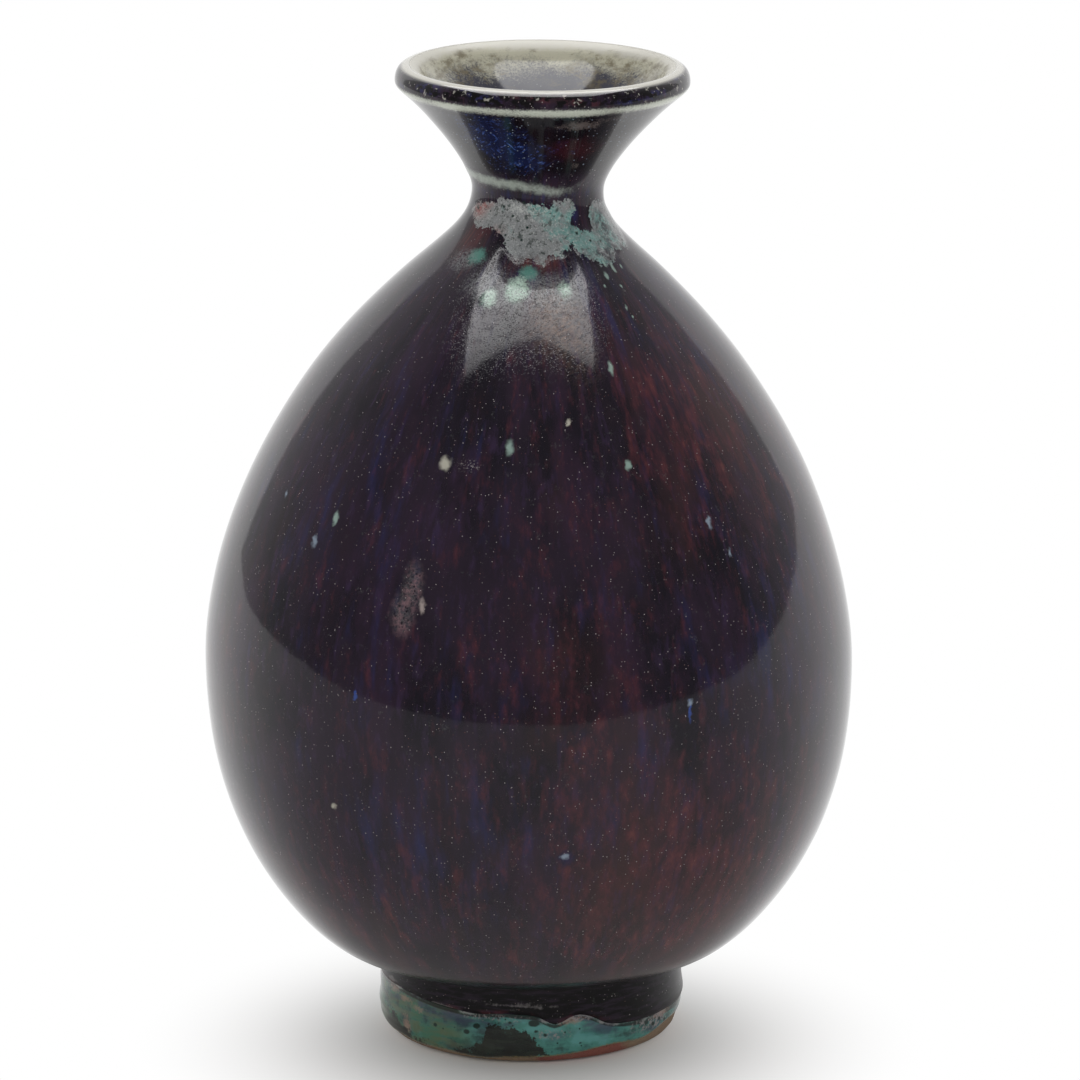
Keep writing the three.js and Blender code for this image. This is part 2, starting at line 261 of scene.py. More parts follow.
# Colours, as linear red, green, blue
COLOURS = {
    "aubergine": (0.022, 0.014, 0.025),
    "ink": (0.010, 0.0075, 0.013),
    "cobalt": (0.026, 0.032, 0.13),
    "wine": (0.105, 0.028, 0.036),
    "rust": (0.14, 0.050, 0.040),
    "flash grey": (0.27, 0.28, 0.285),
    "flash green": (0.155, 0.34, 0.315),
    "flash white": (0.60, 0.62, 0.60),
    "mint": (0.50, 0.66, 0.56),
    "green": (0.10, 0.29, 0.24),
    "celadon": (0.46, 0.52, 0.46),
    "crest cream": (0.62, 0.60, 0.53),
    "cream": (0.62, 0.60, 0.50),
    "pale green": (0.36, 0.50, 0.44),
    "blue white": (0.30, 0.37, 0.46),
    "pink brown": (0.23, 0.14, 0.155),
    "speck": (0.55, 0.50, 0.50),
    "pit": (0.012, 0.03, 0.024),
    "lip celadon": (0.62, 0.66, 0.57),
    "brush blue": (0.05, 0.10, 0.34),
    "amber": (0.24, 0.15, 0.11),
    "plum": (0.032, 0.016, 0.034),
    # Nearly black; on the foot wall under the belly it is partly painted shade.
    "foot ink": (0.005, 0.004, 0.005),
    "foot slate": (0.06, 0.065, 0.11),
    "ochre": (0.22, 0.17, 0.07),
    "rose": (0.34, 0.12, 0.11),
    "toasted": (0.16, 0.13, 0.075),
    "bright blue": (0.04, 0.09, 0.35),
    "blue glow": (0.009, 0.014, 0.055),
    "stroke blue": (0.14, 0.22, 0.50),
    "warm brown": (0.052, 0.024, 0.024),
    "burnt olive": (0.020, 0.023, 0.016),
    "violet": (0.046, 0.026, 0.068),
    # Pinkish white of the painted highlight by the mottled spot.
    "painted highlight": (0.48, 0.40, 0.38),
    "spot grey": (0.10, 0.10, 0.105),
    "leaf green": (0.052, 0.155, 0.092),
    "flare red": (0.036, 0.008, 0.012),
    "toasted grey": (0.17, 0.14, 0.13),
    "orange speck": (0.45, 0.17, 0.11),
    "foot cyan": (0.11, 0.33, 0.31),
    "grey green": (0.05, 0.06, 0.056),
    "turquoise": (0.07, 0.245, 0.21),
    "deep turquoise": (0.028, 0.075, 0.07),
    "olive": (0.125, 0.125, 0.06),
    "foot black": (0.009, 0.009, 0.007),
    "foot pink": (0.36, 0.22, 0.17),
    "foot pale": (0.27, 0.25, 0.25),
    "clay": (0.27, 0.19, 0.125),
    "red clay": (0.26, 0.088, 0.066),
    "brown wash": (0.06, 0.035, 0.028),
    "throat": (0.05, 0.05, 0.07),
    "liner": (0.57, 0.55, 0.43),
}

# Studio, in metres and degrees: a white table that ends in front, a soft lamp overhead, a white sweep behind
# and a dim room in front
TABLE_EDGE = (
    (-1.1, -0.10), (-0.75, -0.24), (-0.40, -0.275), (0.0, -0.275), (0.20, -0.24), (0.36, -0.17),
    (0.52, -0.04), (0.63, 0.30), (1.3, 0.8), (1.3, 1.6), (-1.3, 1.6), (-1.3, 0.4),
)
TABLE_COLOUR = (0.90, 0.878, 0.848)
LAMP_HEIGHT = 0.58
LAMP_HALF_WIDTH = 0.26
LAMP_FRONT = -0.159
LAMP_BACK = 0.46
LAMP_EDGE_SHARE = 0.6
LAMP_FADE = 0.06
LAMP_CORNER_SHARE = 0.6
LAMP_CORNER_FROM = 0.05
LAMP_MIRRORED = 5.0
LAMP_LIGHT = 1.5
SWEEP_AZIMUTH = 43.0
SWEEP_SOFT = 2.0
SWEEP_WIDER_RIGHT = 4.0
SWEEP_CURL_HEIGHT = 0.180
SWEEP_CURL_FALL = 0.122
SWEEP_CURL_SOFT = 0.012
SWEEP_MIDDLE = 0.05
SIDE_GLOW = 0.52
SIDE_GLOW_END = 98.0
ROOM_GLOW = 0.105
FILL = 0.72
TABLE_MIRRORED = 0.34
TABLE_DIM_FROM = 48.0
TABLE_DIM_TO = 122.0
TABLE_SHADE_Y = -0.0075
TABLE_WHITE_FROM = 0.005
TABLE_WHITE_TO = 0.041


def smooth(value, low, high):
    share = np.clip((value - low) / (high - low), 0, 1)
    return share * share * (3 - 2 * share)


def bump(value, centre, reach):
    return np.exp(-((value - centre) / reach) ** 2)


def round_line(line, turn):
    """A smooth periodic line near chosen (turn, value) points."""
    turns, values = np.array(line, float).T
    eased = np.interp(turn, turns, values)
    around = [np.interp((turn + aside + 180) % 360 - 180, turns, values) for aside in LINE_EASING]
    return (eased * 2 + sum(around)) / (2 + len(LINE_EASING))


def ripple(turn, height, seed, waves, fastest, pitch):
    """Gentle unevenness, about -1 to 1: waves that close round the pot, with chosen random directions."""
    chance = np.random.default_rng(seed)
    total = np.zeros(np.broadcast(turn, height).shape)
    for _ in range(waves):
        count = chance.integers(1, fastest + 1)
        climb = chance.normal(0, 2 * math.pi / pitch)
        phase = chance.uniform(0, 2 * math.pi)
        total += np.sin(np.radians(turn) * count + height * climb + phase)
    return total / math.sqrt(waves)


def outline_of(node):
    """A turned node's section in the half plane y = 0, x > 0: (centre x, radius, height), row by row."""
    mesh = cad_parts[node].data
    corners = np.round(np.array([v.co for v in mesh.vertices]) / MM, DECIMALS) + 0.0
    links = {}
    for edge in mesh.edges:
        a, b = (tuple(corners[i]) for i in edge.vertices)
        if a != b and a[1] == 0 and b[1] == 0 and min(a[0], b[0]) >= 0:
            links.setdefault(a, set()).add(b)
            links.setdefault(b, set()).add(a)
    ends = [p for p in links if len(links[p]) == 1]
    here = min(ends or links, key=lambda p: p[2])
    order = [here]
    while True:
        onward = [p for p in links[here] if p not in order]
        if not onward:
            break
        here = max(onward, key=lambda p: p[0]) if len(order) == 1 else onward[0]
        order.append(here)
    different = np.unique(corners, axis=0)
    rows = []
    for x, _, z in order:
        centre = different[np.abs(different[:, 2] - z) < SAME_HEIGHT][:, 0].mean()
        rows.append((centre, x - centre, z))
    return np.array(rows)


def natural_spline(knots, values, at):
    """Natural cubic spline through rows of values."""
    gap = np.diff(knots)[:, None]
    slope = np.diff(values, axis=0) / gap
    count = len(knots)
    system = np.eye(count)
    right = np.zeros_like(values)
    for i in range(1, count - 1):
        system[i, i - 1:i + 2] = (gap[i - 1, 0], 2 * (gap[i - 1, 0] + gap[i, 0]), gap[i, 0])
        right[i] = 6 * (slope[i] - slope[i - 1])
    curve = np.linalg.solve(system, right)
    i = np.clip(np.searchsorted(knots, at) - 1, 0, count - 2)
    width = gap[i]
    a = ((knots[i + 1] - at)[:, None]) / width
    b = 1 - a
    bend = ((a**3 - a) * curve[i] + (b**3 - b) * curve[i + 1]) * width**2 / 6
    return a * values[i] + b * values[i + 1] + bend


def smoothed(rows, fine=4000):
    """A dense smooth run through the section's rows."""
    steps = np.hypot(*np.diff(rows[:, 1:], axis=0).T)
    knots = np.concatenate(([0], np.cumsum(np.sqrt(steps))))
    return natural_spline(knots, rows, np.linspace(0, knots[-1], fine))


def travelled(rows):
    return np.concatenate(([0], np.cumsum(np.hypot(*np.diff(rows[:, 1:], axis=0).T))))


def distance_between_rows(height, spacing):
    finest, *widenings = spacing
    distance = finest
    for extra, *ramps in widenings:
        share = math.prod(smooth(height, *ramp) for ramp in ramps)
        distance = distance + extra * share
    return distance


def respaced(rows, spacing):
    """Rows of a run taken again at the distances that spacing gives."""
    run = travelled(rows)
    pace = np.concatenate(([0], np.cumsum(np.diff(run) / distance_between_rows(rows[1:, 2], spacing))))
    marks = np.linspace(0, pace[-1], int(round(pace[-1])) + 1)
    return np.stack([np.interp(marks, pace, rows[:, k]) for k in range(3)], axis=1)


def facing(rows):
    """Which way the surface faces along a run, as (out, up), for a run that goes up the outside."""
    along = np.gradient(rows[:, 1:], axis=0)
    along /= np.linalg.norm(along, axis=1)[:, None]
    return np.stack([along[:, 1], -along[:, 0]], axis=1)


pot_outline = outline_of("stoneware_pot")
outer_outline = outline_of("outer_glaze")
liner_outline = outline_of("liner_glaze")
band_outline = outline_of("foot_glaze_band")
base_outline = outline_of("base_glaze")

outer_top = int(np.argmax(outer_outline[:, 2]))
outer_face = smoothed(outer_outline[1:outer_top + 1])
outer_back = smoothed(outer_outline[outer_top + 1:])
glaze_line = outer_outline[0, 2]
belly_radius = outer_face[:, 1].max()
on_foot_wall = (pot_outline[:, 2] <= FOOT_WALL_TOP + 0.1) & (pot_outline[:, 1] > FOOT_WALL_RADIUS_FROM)
foot_points = pot_outline[on_foot_wall]
foot_points = foot_points[np.argsort(foot_points[:, 2])]


def clay_foot_radius(height):
    return np.interp(height, foot_points[:, 2], foot_points[:, 1])


def glaze_radius(height):
    above = outer_face[:, 2] > FOOT_WALL_TOP + 3
    on_belly = np.interp(height, outer_face[above, 2], outer_face[above, 1])
    return np.where(height < FOOT_WALL_TOP, clay_foot_radius(height), on_belly)


def slumped(points):
    """The kiln's small distortions, the same for every piece."""
    x, y, z = points[..., 0], points[..., 1], points[..., 2]
    mouth_centre = liner_outline[np.argmax(liner_outline[:, 2]), 0]
    tilt = math.tan(math.radians(RIM_TILT)) * smooth(z, RIM_TILT_FROM, RIM_TILT_FULL)
    moved = points.copy()
    moved[..., 2] = z - tilt * (x - mouth_centre)
    heights, stand_out = np.split(np.array(SIDES), [1], axis=1)
    heights = heights.ravel()
    at = np.clip(z, heights[0], heights[-1]).ravel()
    out_left, out_right = natural_spline(heights, stand_out, at).T
    sideways = (x / np.maximum(np.hypot(x, y), 0.01)).ravel()
    out = np.where(sideways > 0, out_right, -out_left) * sideways**2
    moved[..., 0] = x + out.reshape(x.shape)
    return moved


def turned_points(centre, radius, height, turn):
    angle = np.radians(turn)
    x = centre + radius * np.sin(angle)
    y = -radius * np.cos(angle)
    shape = np.broadcast(x, y, height).shape
    points = np.stack([np.broadcast_to(part, shape) for part in (x, y, height)], axis=-1)
    return slumped(points)


def turned_rows(rows, turn):
    """Rows of a section, each turned round the pot."""
    centre, radius, height = (rows[:, k][:, None] for k in range(3))
    return turned_points(centre, radius, height, turn)


def turned_piece(name, grid, closed, notes=None):
    """A closed mesh from rows of points round the pot. An open run of rows is capped at both ends."""
    rows, columns = grid.shape[:2]
    index = np.arange(rows * columns).reshape(rows, columns)
    lower = index if closed else index[:-1]
    upper = np.roll(index, -1, axis=0) if closed else index[1:]
    quads = np.stack([lower, np.roll(lower, -1, 1), np.roll(upper, -1, 1), upper], axis=-1).reshape(-1, 4)
    faces = quads.tolist()
    if not closed:
        faces.append(index[0][::-1].tolist())
        faces.append(index[-1].tolist())
    points = grid.reshape(-1, 3)
    a, b, c, d = (points[quads[:, k]] for k in range(4))
    volume = (np.cross(a, b) * c).sum() + (np.cross(a, c) * d).sum()
    if volume < 0:
        faces = [face[::-1] for face in faces]
    mesh = bpy.data.meshes.new(name)
    mesh.from_pydata((points * MM).tolist(), [], faces)
    mesh.polygons.foreach_set("use_smooth", np.ones(len(mesh.polygons), bool))
    for note, values in (notes or {}).items():
        kind = "FLOAT_VECTOR" if values.ndim == 3 else "FLOAT"
        field = "vector" if values.ndim == 3 else "value"
        attribute = mesh.attributes.new(note, kind, "POINT")
        attribute.data.foreach_set(field, values.astype(np.float32).ravel())
    mesh.update()
    piece = bpy.data.objects.new(name, mesh)
    bpy.context.scene.collection.objects.link(piece)
    return piece


def all_turns(columns=COLUMNS):
    return (np.arange(columns) * 360 / columns - 180)[None, :]


def flow_note(turn, run):
    """Where glaze runs: round the pot at the belly's width, and down along the wall."""
    angle = np.radians(turn)
    shape = np.broadcast(turn, run).shape
    parts = (belly_radius * np.sin(angle), -belly_radius * np.cos(angle), run)
    return np.stack([np.broadcast_to(part, shape) for part in parts], axis=-1)


def flash_field(turn, height, outline):
    """How deep a point lies inside a flash, in mm; negative outside."""
    turns, low, high = np.array(outline, float).T
    lower = np.interp(turn, turns, low)
    upper = np.interp(turn, turns, high)
    beyond = np.maximum(turns[0] - turn, turn - turns[-1])
    reach = np.radians(np.maximum(beyond, 0)) * glaze_radius(low.mean())
    return np.minimum(height - lower, upper - height) - reach


def blot_field(turn, height, blots):
    """How deep a point lies inside the nearest of several round blots, in mm."""
    deepest = np.full(np.broadcast(turn, height).shape, FAR_OUTSIDE)
    for at_turn, at_height, wide, tall in blots:
        around = np.radians((turn - at_turn + 180) % 360 - 180) * glaze_radius(at_height)
        across = np.hypot(around / wide, (height - at_height) / tall)
        deepest = np.maximum(deepest, (1 - across) * min(wide, tall))
    return deepest


def zones(turn, height, places, added=0.0, most=1.0):
    """Sum of soft round zones on the pot and what is added to them, up to a limit."""
    total = np.zeros(np.broadcast(turn, height).shape)
    for at_turn, at_height, wide, tall, weight in places:
        total += weight * bump((turn - at_turn + 180) % 360 - 180, 0, wide) * bump(height, at_height, tall)
    return np.clip(total + added, 0, most)


def outer_tones(turn, height):
    """Where the dark glaze changes: depths inside flashes and blots in mm, and soft shares of the rest."""
    ring = 1 - np.abs(height - round_line(NECK_RING, turn)) / NECK_RING_HALF
    lip_half = np.where(height < LIP_LINE_HEIGHT, LIP_LINE_HALF_BELOW, LIP_LINE_HALF_ABOVE)
    lip = smooth(1 - np.abs(height - LIP_LINE_HEIGHT) / lip_half, -0.7, 0.9)
    lip_band = smooth(height, *LIP_BAND_IN)
    blue_patches = smooth(ripple(turn, height, seed=5, waves=9, fastest=14, pitch=3), -0.1, 0.8)
    wine_patches = smooth(ripple(turn, height, seed=6, waves=9, fastest=12, pitch=3), 0.0, 0.9)
    on_lip_band = {"blue": 0.9 * lip_band * blue_patches, "wine": 0.4 * lip_band * wine_patches}
    tones = {
        "flash": np.maximum.reduce([flash_field(turn, height, flash) for flash in FLASHES]),
        "pale": smooth(ring, -0.7, 0.8) * round_line(NECK_RING_WEIGHT, turn),
        "lip": lip * (0.95 + 0.12 * ripple(turn, height, seed=8, waves=8, fastest=18, pitch=6)),
        "flare": smooth(height, *FLARE_IN) * smooth(height, *FLARE_OUT),
        "crest": smooth(height, CREST_LINE_HEIGHT - CREST_LINE_SOFT, CREST_LINE_HEIGHT + CREST_LINE_SOFT),
        "pitted": smooth(height, *PITTED_IN) * smooth(height, *PITTED_OUT)
        * bump(turn, PITTED_TURN, PITTED_SPREAD),
        "band": lip_band * smooth(height, *LIP_BAND_OUT),
        # The foot wall under the belly, darkened: partly its own colour, partly painted shade.
        "foot": smooth(height, *FOOT_IN),
    }
    for note, blots in OUTER_BLOTS.items():
        tones[note] = blot_field(turn, height, blots)
    for note, places in OUTER_ZONES.items():
        tones[note] = zones(turn, height, places, on_lip_band.get(note, 0), MOST_OF_ZONES.get(note, 1.0))
    return tones


def pad_rows(values, rows):
    """The face's values, repeated for the hidden rows against the clay."""
    extra = rows - len(values)
    return np.concatenate([values, np.repeat(values[-1:], extra, axis=0)])


def down_to_drip(height, drip):
    """Heights on the foot's wall moved so that the lowest lies on the drip line."""
    share = (height - glaze_line) / (FOOT_WALL_TOP - glaze_line)
    return np.where(height < FOOT_WALL_TOP, drip + share * (FOOT_WALL_TOP - drip), height)


def make_outer_glaze():
    turn = all_turns()
    face = respaced(outer_face, OUTER_ROWS)
    back = respaced(outer_back, OUTER_HIDDEN_ROWS)
    out, up = (facing(face)[:, k][:, None] for k in range(2))
    centre, radius, straight = (face[:, k][:, None] for k in range(3))
    drip = round_line(DRIP_LINE, turn)
    height = down_to_drip(straight, drip)
    thick = radius - clay_foot_radius(straight)
    from_edge = np.maximum(height - drip, 0)
    rounded = np.sqrt(1 - (1 - np.clip(from_edge / DRIP_EDGE, 0, 1)) ** 2)
    swell = DRIP_SWELL * bump(from_edge, DRIP_SWELL_MIDDLE, DRIP_SWELL_REACH)
    swell = swell * smooth(drip, *DRIP_SWELL_WHERE_LOW)
    on_wall = clay_foot_radius(height) + (thick + swell) * rounded
    radius = np.where(straight < FOOT_WALL_TOP, on_wall, radius)
    tones = outer_tones(turn, height)
    raised = (
        FLASH_RAISE * smooth(tones["flash"], -FLASH_EDGE, FLASH_EDGE)
        + MINT_RAISE * smooth(tones["mint"], -0.2, 0.3)
        + RING_RAISE * tones["pale"]
        + LIP_LINE_RAISE * tones["lip"]
        + UNEVEN_RAISE * ripple(turn, height, seed=21, waves=10, fastest=7, pitch=9)
    )
    raised = raised * smooth(height, *RAISED_FROM) * (1 - smooth(height, *RAISED_UP_TO))
    face_points = turned_points(centre, radius + raised * out, height + raised * up, turn)
    back_straight = back[:, 2][:, None]
    back_height = down_to_drip(back_straight, drip)
    back_radius = np.where(back_straight < FOOT_WALL_TOP, clay_foot_radius(back_height), back[:, 1][:, None])
    back_points = turned_points(back[:, 0][:, None], back_radius, back_height, turn)
    grid = np.concatenate([face_points, back_points])
    run = (travelled(face)[-1] - travelled(face))[:, None]
    tones["flow"] = flow_note(turn, run)
    tones["brink"] = smooth(height - drip, *BRINK)
    notes = {note: pad_rows(values, len(grid)) for note, values in tones.items()}
    return turned_piece("outer_glaze_coat", grid, True, notes)


def make_liner_glaze():
    top = int(np.argmax(liner_outline[:, 2]))
    face = respaced(smoothed(liner_outline[top:]), LINER_ROWS)
    back = respaced(smoothed(liner_outline[:top]), LINER_HIDDEN_ROWS)
    rows = np.concatenate([back, face])
    rows = rows[rows[:, 1] > MIDDLE_HOLE]
    grid = turned_rows(rows, all_turns())
    height = np.broadcast_to(rows[:, 2][:, None], grid.shape[:2])
    return turned_piece("liner_glaze_coat", grid, False, {"height": height})


def make_foot_band():
    """The turquoise band: from the bare clay line up to a little under the dark glaze."""
    turn = all_turns()
    wander = BAND_WANDER * ripple(turn, 0, seed=31, waves=7, fastest=16, pitch=5)
    low = round_line(BARE_LINE, turn) + wander
    high = round_line(DRIP_LINE, turn) + BAND_TUCK
    height = low + np.linspace(0, 1, BAND_ROWS)[:, None] * (high - low)
    coat_thickness = band_outline[:, 1].max() - clay_foot_radius(FOOT_WALL_TOP / 3)
    edge = np.clip((height - low) / BAND_EDGE, 0, 1)
    rounded = np.sqrt(1 - (1 - edge) ** 2)
    uneven = 1 + BAND_UNEVEN * ripple(turn, height, seed=33, waves=9, fastest=11, pitch=3.5)
    thickness = np.maximum(coat_thickness * rounded * uneven, BAND_THINNEST)
    face = turned_points(0.0, clay_foot_radius(height) + thickness, height, turn)
    back_height = low + np.linspace(1, 0, BAND_HIDDEN_ROWS)[:, None] * (high - low)
    back = turned_points(0.0, clay_foot_radius(back_height), back_height, turn)
    grid = np.concatenate([face, back])
    notes = {
        "turn": np.broadcast_to(turn, height.shape),
        "burnt": np.maximum(flash_field(turn, height, BURNT_PATCH), flash_field(turn, height, SOOTY_PATCH)),
        "tone": zones(turn, height, FOOT_BRIGHT) - zones(turn, height, FOOT_DIM),
        "under": high - BAND_TUCK - height,
        "above": height - low,
    }
    for note, blots in FOOT_BLOTS.items():
        notes[note] = blot_field(turn, height, blots)
    notes = {note: pad_rows(values, len(grid)) for note, values in notes.items()}
    return turned_piece("foot_glaze_coat", grid, True, notes)


def make_pot():
    rows = respaced(pot_outline, POT_ROWS)
    rows = rows[rows[:, 1] > MIDDLE_HOLE]
    return turned_piece("clay_pot", turned_rows(rows, all_turns()), False)


def make_base_glaze():
    rows = respaced(base_outline, BASE_ROWS)
    rows = rows[rows[:, 1] > MIDDLE_HOLE]
    return turned_piece("base_glaze_wash", turned_rows(rows, all_turns(BASE_COLUMNS)), False)


class Nodes:
    """Adds nodes to one tree. An input takes a number, a colour or another node's output."""

    def __init__(self, tree):
        self.tree = tree

    def add(self, kind, inputs=None, **settings):
        node = self.tree.nodes.new(kind)
        for name, value in settings.items():
            setattr(node, name, value)
        for name, value in (inputs or {}).items():
            self.put(node.inputs[name], value)
        return node

    def put(self, socket, value):
        if isinstance(value, bpy.types.NodeSocket):
            self.tree.links.new(value, socket)
        elif socket.type == "RGBA" and len(value) == 3:
            socket.default_value = (*value, 1)
        else:
            socket.default_value = value

    def maths(self, operation, a, b=0.0):
        return self.add("ShaderNodeMath", {0: a, 1: b}, operation=operation).outputs[0]

    def times(self, a, b):
        return self.maths("MULTIPLY", a, b)

    def rest(self, share):
        """What a share leaves of one."""
        return self.maths("SUBTRACT", 1.0, share)

    def centred(self, noise):
        return self.maths("SUBTRACT", noise, 0.5)

    def between(self, share, low, high):
        """low where the share is 0, high where it is 1."""
        return self.maths("ADD", self.times(share, high - low), low)

    def vector(self, operation, a, b):
        return self.add("ShaderNodeVectorMath", {0: a, 1: b}, operation=operation).outputs["Vector"]

    def length(self, a):
        return self.add("ShaderNodeVectorMath", {0: a}, operation="LENGTH").outputs["Value"]

    def parts(self, vector):
        return self.add("ShaderNodeSeparateXYZ", {0: vector}).outputs

    def azimuth(self, vector):
        """The angle between a direction and straight behind the pot, to either side."""
        parts = self.parts(vector)
        return self.maths("ABSOLUTE", self.maths("ARCTAN2", parts["X"], parts["Y"]))

    def share(self, value, low, high):
        """0 at low, 1 at high, smooth between."""
        node = self.add(
            "ShaderNodeMapRange",
            {"Value": value, "From Min": min(low, high), "From Max": max(low, high),
             "To Min": float(low > high), "To Max": float(low < high)},
            interpolation_type="SMOOTHSTEP",
        )
        return node.outputs["Result"]

    def total(self, *terms):
        """Sum of (output, weight) pairs."""
        parts = [self.times(output, weight) for output, weight in terms]
        whole = parts[0]
        for part in parts[1:]:
            whole = self.maths("ADD", whole, part)
        return whole

    def turned(self, vector, degrees):
        """The vector turned about the Y axis, which leans vertical streaks over to one side."""
        node = self.add("ShaderNodeVectorRotate", {"Vector": vector, "Angle": math.radians(degrees)},
                        rotation_type="Y_AXIS")
        return node.outputs["Vector"]

    def noise(self, vector, scale, detail=2.0, roughness=0.5, stretch=None, shift=None):
        """Cloudy noise round 0.5. Stretch under 1 draws it out that way; shift gives another pattern."""
        if stretch:
            vector = self.vector("MULTIPLY", vector, stretch)
        if shift:
            vector = self.vector("ADD", vector, shift)
        node = self.add(
            "ShaderNodeTexNoise",
            {"Vector": vector, "Scale": scale, "Detail": detail, "Roughness": roughness},
        )
        return node.outputs["Fac"]

    def mix(self, amount, a, b):
        node = self.add("ShaderNodeMix", data_type="RGBA")
        self.put(node.inputs[0], amount)
        self.put(node.inputs[6], a)
        self.put(node.inputs[7], b)
        return node.outputs[2]

    def lay(self, colour, under, mask, weight=None):
        """A named colour laid over another colour through a mask, thinned by the weight."""
        if isinstance(under, str):
            under = COLOURS[under]
        amount = mask if weight is None else self.times(mask, weight)
        return self.mix(amount, under, COLOURS[colour])

    def note(self, name, output="Fac"):
        return self.add("ShaderNodeAttribute", attribute_name=name).outputs[output]

    def place(self):
        """The point on the pot, in millimetres."""
        where = self.add("ShaderNodeTexCoord").outputs["Object"]
        return self.vector("MULTIPLY", where, (1000, 1000, 1000))


def new_group(name, inputs, outputs):
    """An empty shader group with named sockets: its tree, its nodes, and its two ends."""
    tree = bpy.data.node_groups.new(name, "ShaderNodeTree")
    for socket_name, kind, value in inputs:
        socket = tree.interface.new_socket(socket_name, in_out="INPUT", socket_type=kind)
        socket.default_value = value
    for socket_name, kind in outputs:
        tree.interface.new_socket(socket_name, in_out="OUTPUT", socket_type=kind)
    nodes = Nodes(tree)
    return tree, nodes, nodes.add("NodeGroupInput").outputs, nodes.add("NodeGroupOutput").inputs


def pinhole_group():
    """Pinpoint specks: round dots of one size, scattered through the glaze."""
    tree, n, given, made = new_group(
        "pinpoint specks",
        [("Place", "NodeSocketVector", (0, 0, 0)), ("Scale", "NodeSocketFloat", 1.4),
         ("Size", "NodeSocketFloat", 0.1)],
        [("Mask", "NodeSocketFloat"), ("Chance", "NodeSocketFloat")],
    )
    cells = n.add("ShaderNodeTexVoronoi", {"Vector": given["Place"], "Scale": given["Scale"]})
    n.put(made["Chance"], n.add("ShaderNodeSeparateColor", {"Color": cells.outputs["Color"]}).outputs["Red"])
    node = n.add(
        "ShaderNodeMapRange",
        {"Value": cells.outputs["Distance"], "From Min": n.times(given["Size"], 0.45),
         "From Max": given["Size"], "To Min": 1.0, "To Max": 0.0},
    )
    n.put(made["Mask"], node.outputs["Result"])
    return tree


def ragged_group():
    """A ragged mask: a depth in mm, made uneven by coarse and fine noise, then cut."""
    tree, n, given, made = new_group(
        "ragged edge",
        [("Depth", "NodeSocketFloat", 0.0), ("Place", "NodeSocketVector", (0, 0, 0)),
         ("Coarse", "NodeSocketFloat", 0.9), ("Fine", "NodeSocketFloat", 0.5),
         ("Soft", "NodeSocketFloat", 0.08)],
        [("Mask", "NodeSocketFloat")],
    )
    coarse = n.centred(n.noise(given["Place"], 1.1, 2.0))
    fine = n.centred(n.noise(given["Place"], 4.5, 3.0, 0.6))
    uneven = n.total((coarse, given["Coarse"]), (fine, given["Fine"]))
    depth = n.maths("ADD", given["Depth"], n.times(uneven, 2.0))
    node = n.add(
        "ShaderNodeMapRange",
        {"Value": depth, "From Min": n.times(given["Soft"], -1.0), "From Max": given["Soft"]},
        interpolation_type="SMOOTHSTEP",
    )
    n.put(made["Mask"], node.outputs["Result"])
    return tree


def fleck_group():
    """One small fleck: a ragged oval round a middle, given as one over its half width and half height."""
    tree, n, given, made = new_group(
        "glaze fleck",
        [("Place", "NodeSocketVector", (0, 0, 0)), ("Middle", "NodeSocketVector", (0, 0, 0)),
         ("Scale", "NodeSocketVector", (1, 1, 1))],
        [("Mask", "NodeSocketFloat")],
    )
    offset = n.vector("MULTIPLY", n.vector("SUBTRACT", given["Place"], given["Middle"]), given["Scale"])
    n.put(made["Mask"], n.share(n.length(offset), 1.3, 0.35))
    return tree


def skin_group():
    """The fired surface of a glaze: a height with a soft orange peel and small sharp pits."""
    tree, n, given, made = new_group(
        "glaze skin",
        [("Place", "NodeSocketVector", (0, 0, 0)), ("Peel", "NodeSocketFloat", 0.5),
         ("Pits", "NodeSocketFloat", 0.5)],
        [("Height", "NodeSocketFloat")],
    )
    peel = n.times(n.noise(given["Place"], 0.7, 2.0), given["Peel"])
    cells = n.add("ShaderNodeTexVoronoi", {"Vector": given["Place"], "Scale": 5.5}).outputs["Distance"]
    depth = n.share(cells, 0.42, 0.2)
    sparse = n.share(n.noise(given["Place"], 2.6, 1.0), 0.36, 0.56)
    pits = n.times(n.times(depth, sparse), given["Pits"])
    n.put(made["Height"], n.maths("SUBTRACT", peel, pits))
    return tree


PINHOLES = pinhole_group()
RAGGED = ragged_group()
SKIN = skin_group()
FLECK = fleck_group()


def use_group(n, tree, inputs):
    return n.add("ShaderNodeGroup", inputs, node_tree=tree).outputs


def pinholes(n, place, scale, size):
    return use_group(n, PINHOLES, {"Place": place, "Scale": scale, "Size": size})


def ragged(n, place, note, coarse, fine, soft):
    inputs = {"Depth": n.note(note), "Place": place, "Coarse": coarse, "Fine": fine, "Soft": soft}
    return use_group(n, RAGGED, inputs)["Mask"]


def skin(n, place, peel, pits):
    return use_group(n, SKIN, {"Place": place, "Peel": peel, "Pits": pits})["Height"]


def glaze_material(name, roughness):
    """A material with one Principled shader, and the helper that adds its nodes."""
    material = bpy.data.materials.new(name)
    material.use_nodes = True
    tree = material.node_tree
    shader = tree.nodes["Principled BSDF"]
    shader.inputs["Roughness"].default_value = roughness
    return material, Nodes(tree), shader


def give_surface(n, shader, colour, height, strength, depth):
    """The colour and the fine relief of a material; depth in millimetres."""
    n.put(shader.inputs["Base Color"], colour)
    bumped = n.add("ShaderNodeBump", {"Height": height, "Strength": strength, "Distance": depth * MM})
    n.put(shader.inputs["Normal"], bumped.outputs["Normal"])


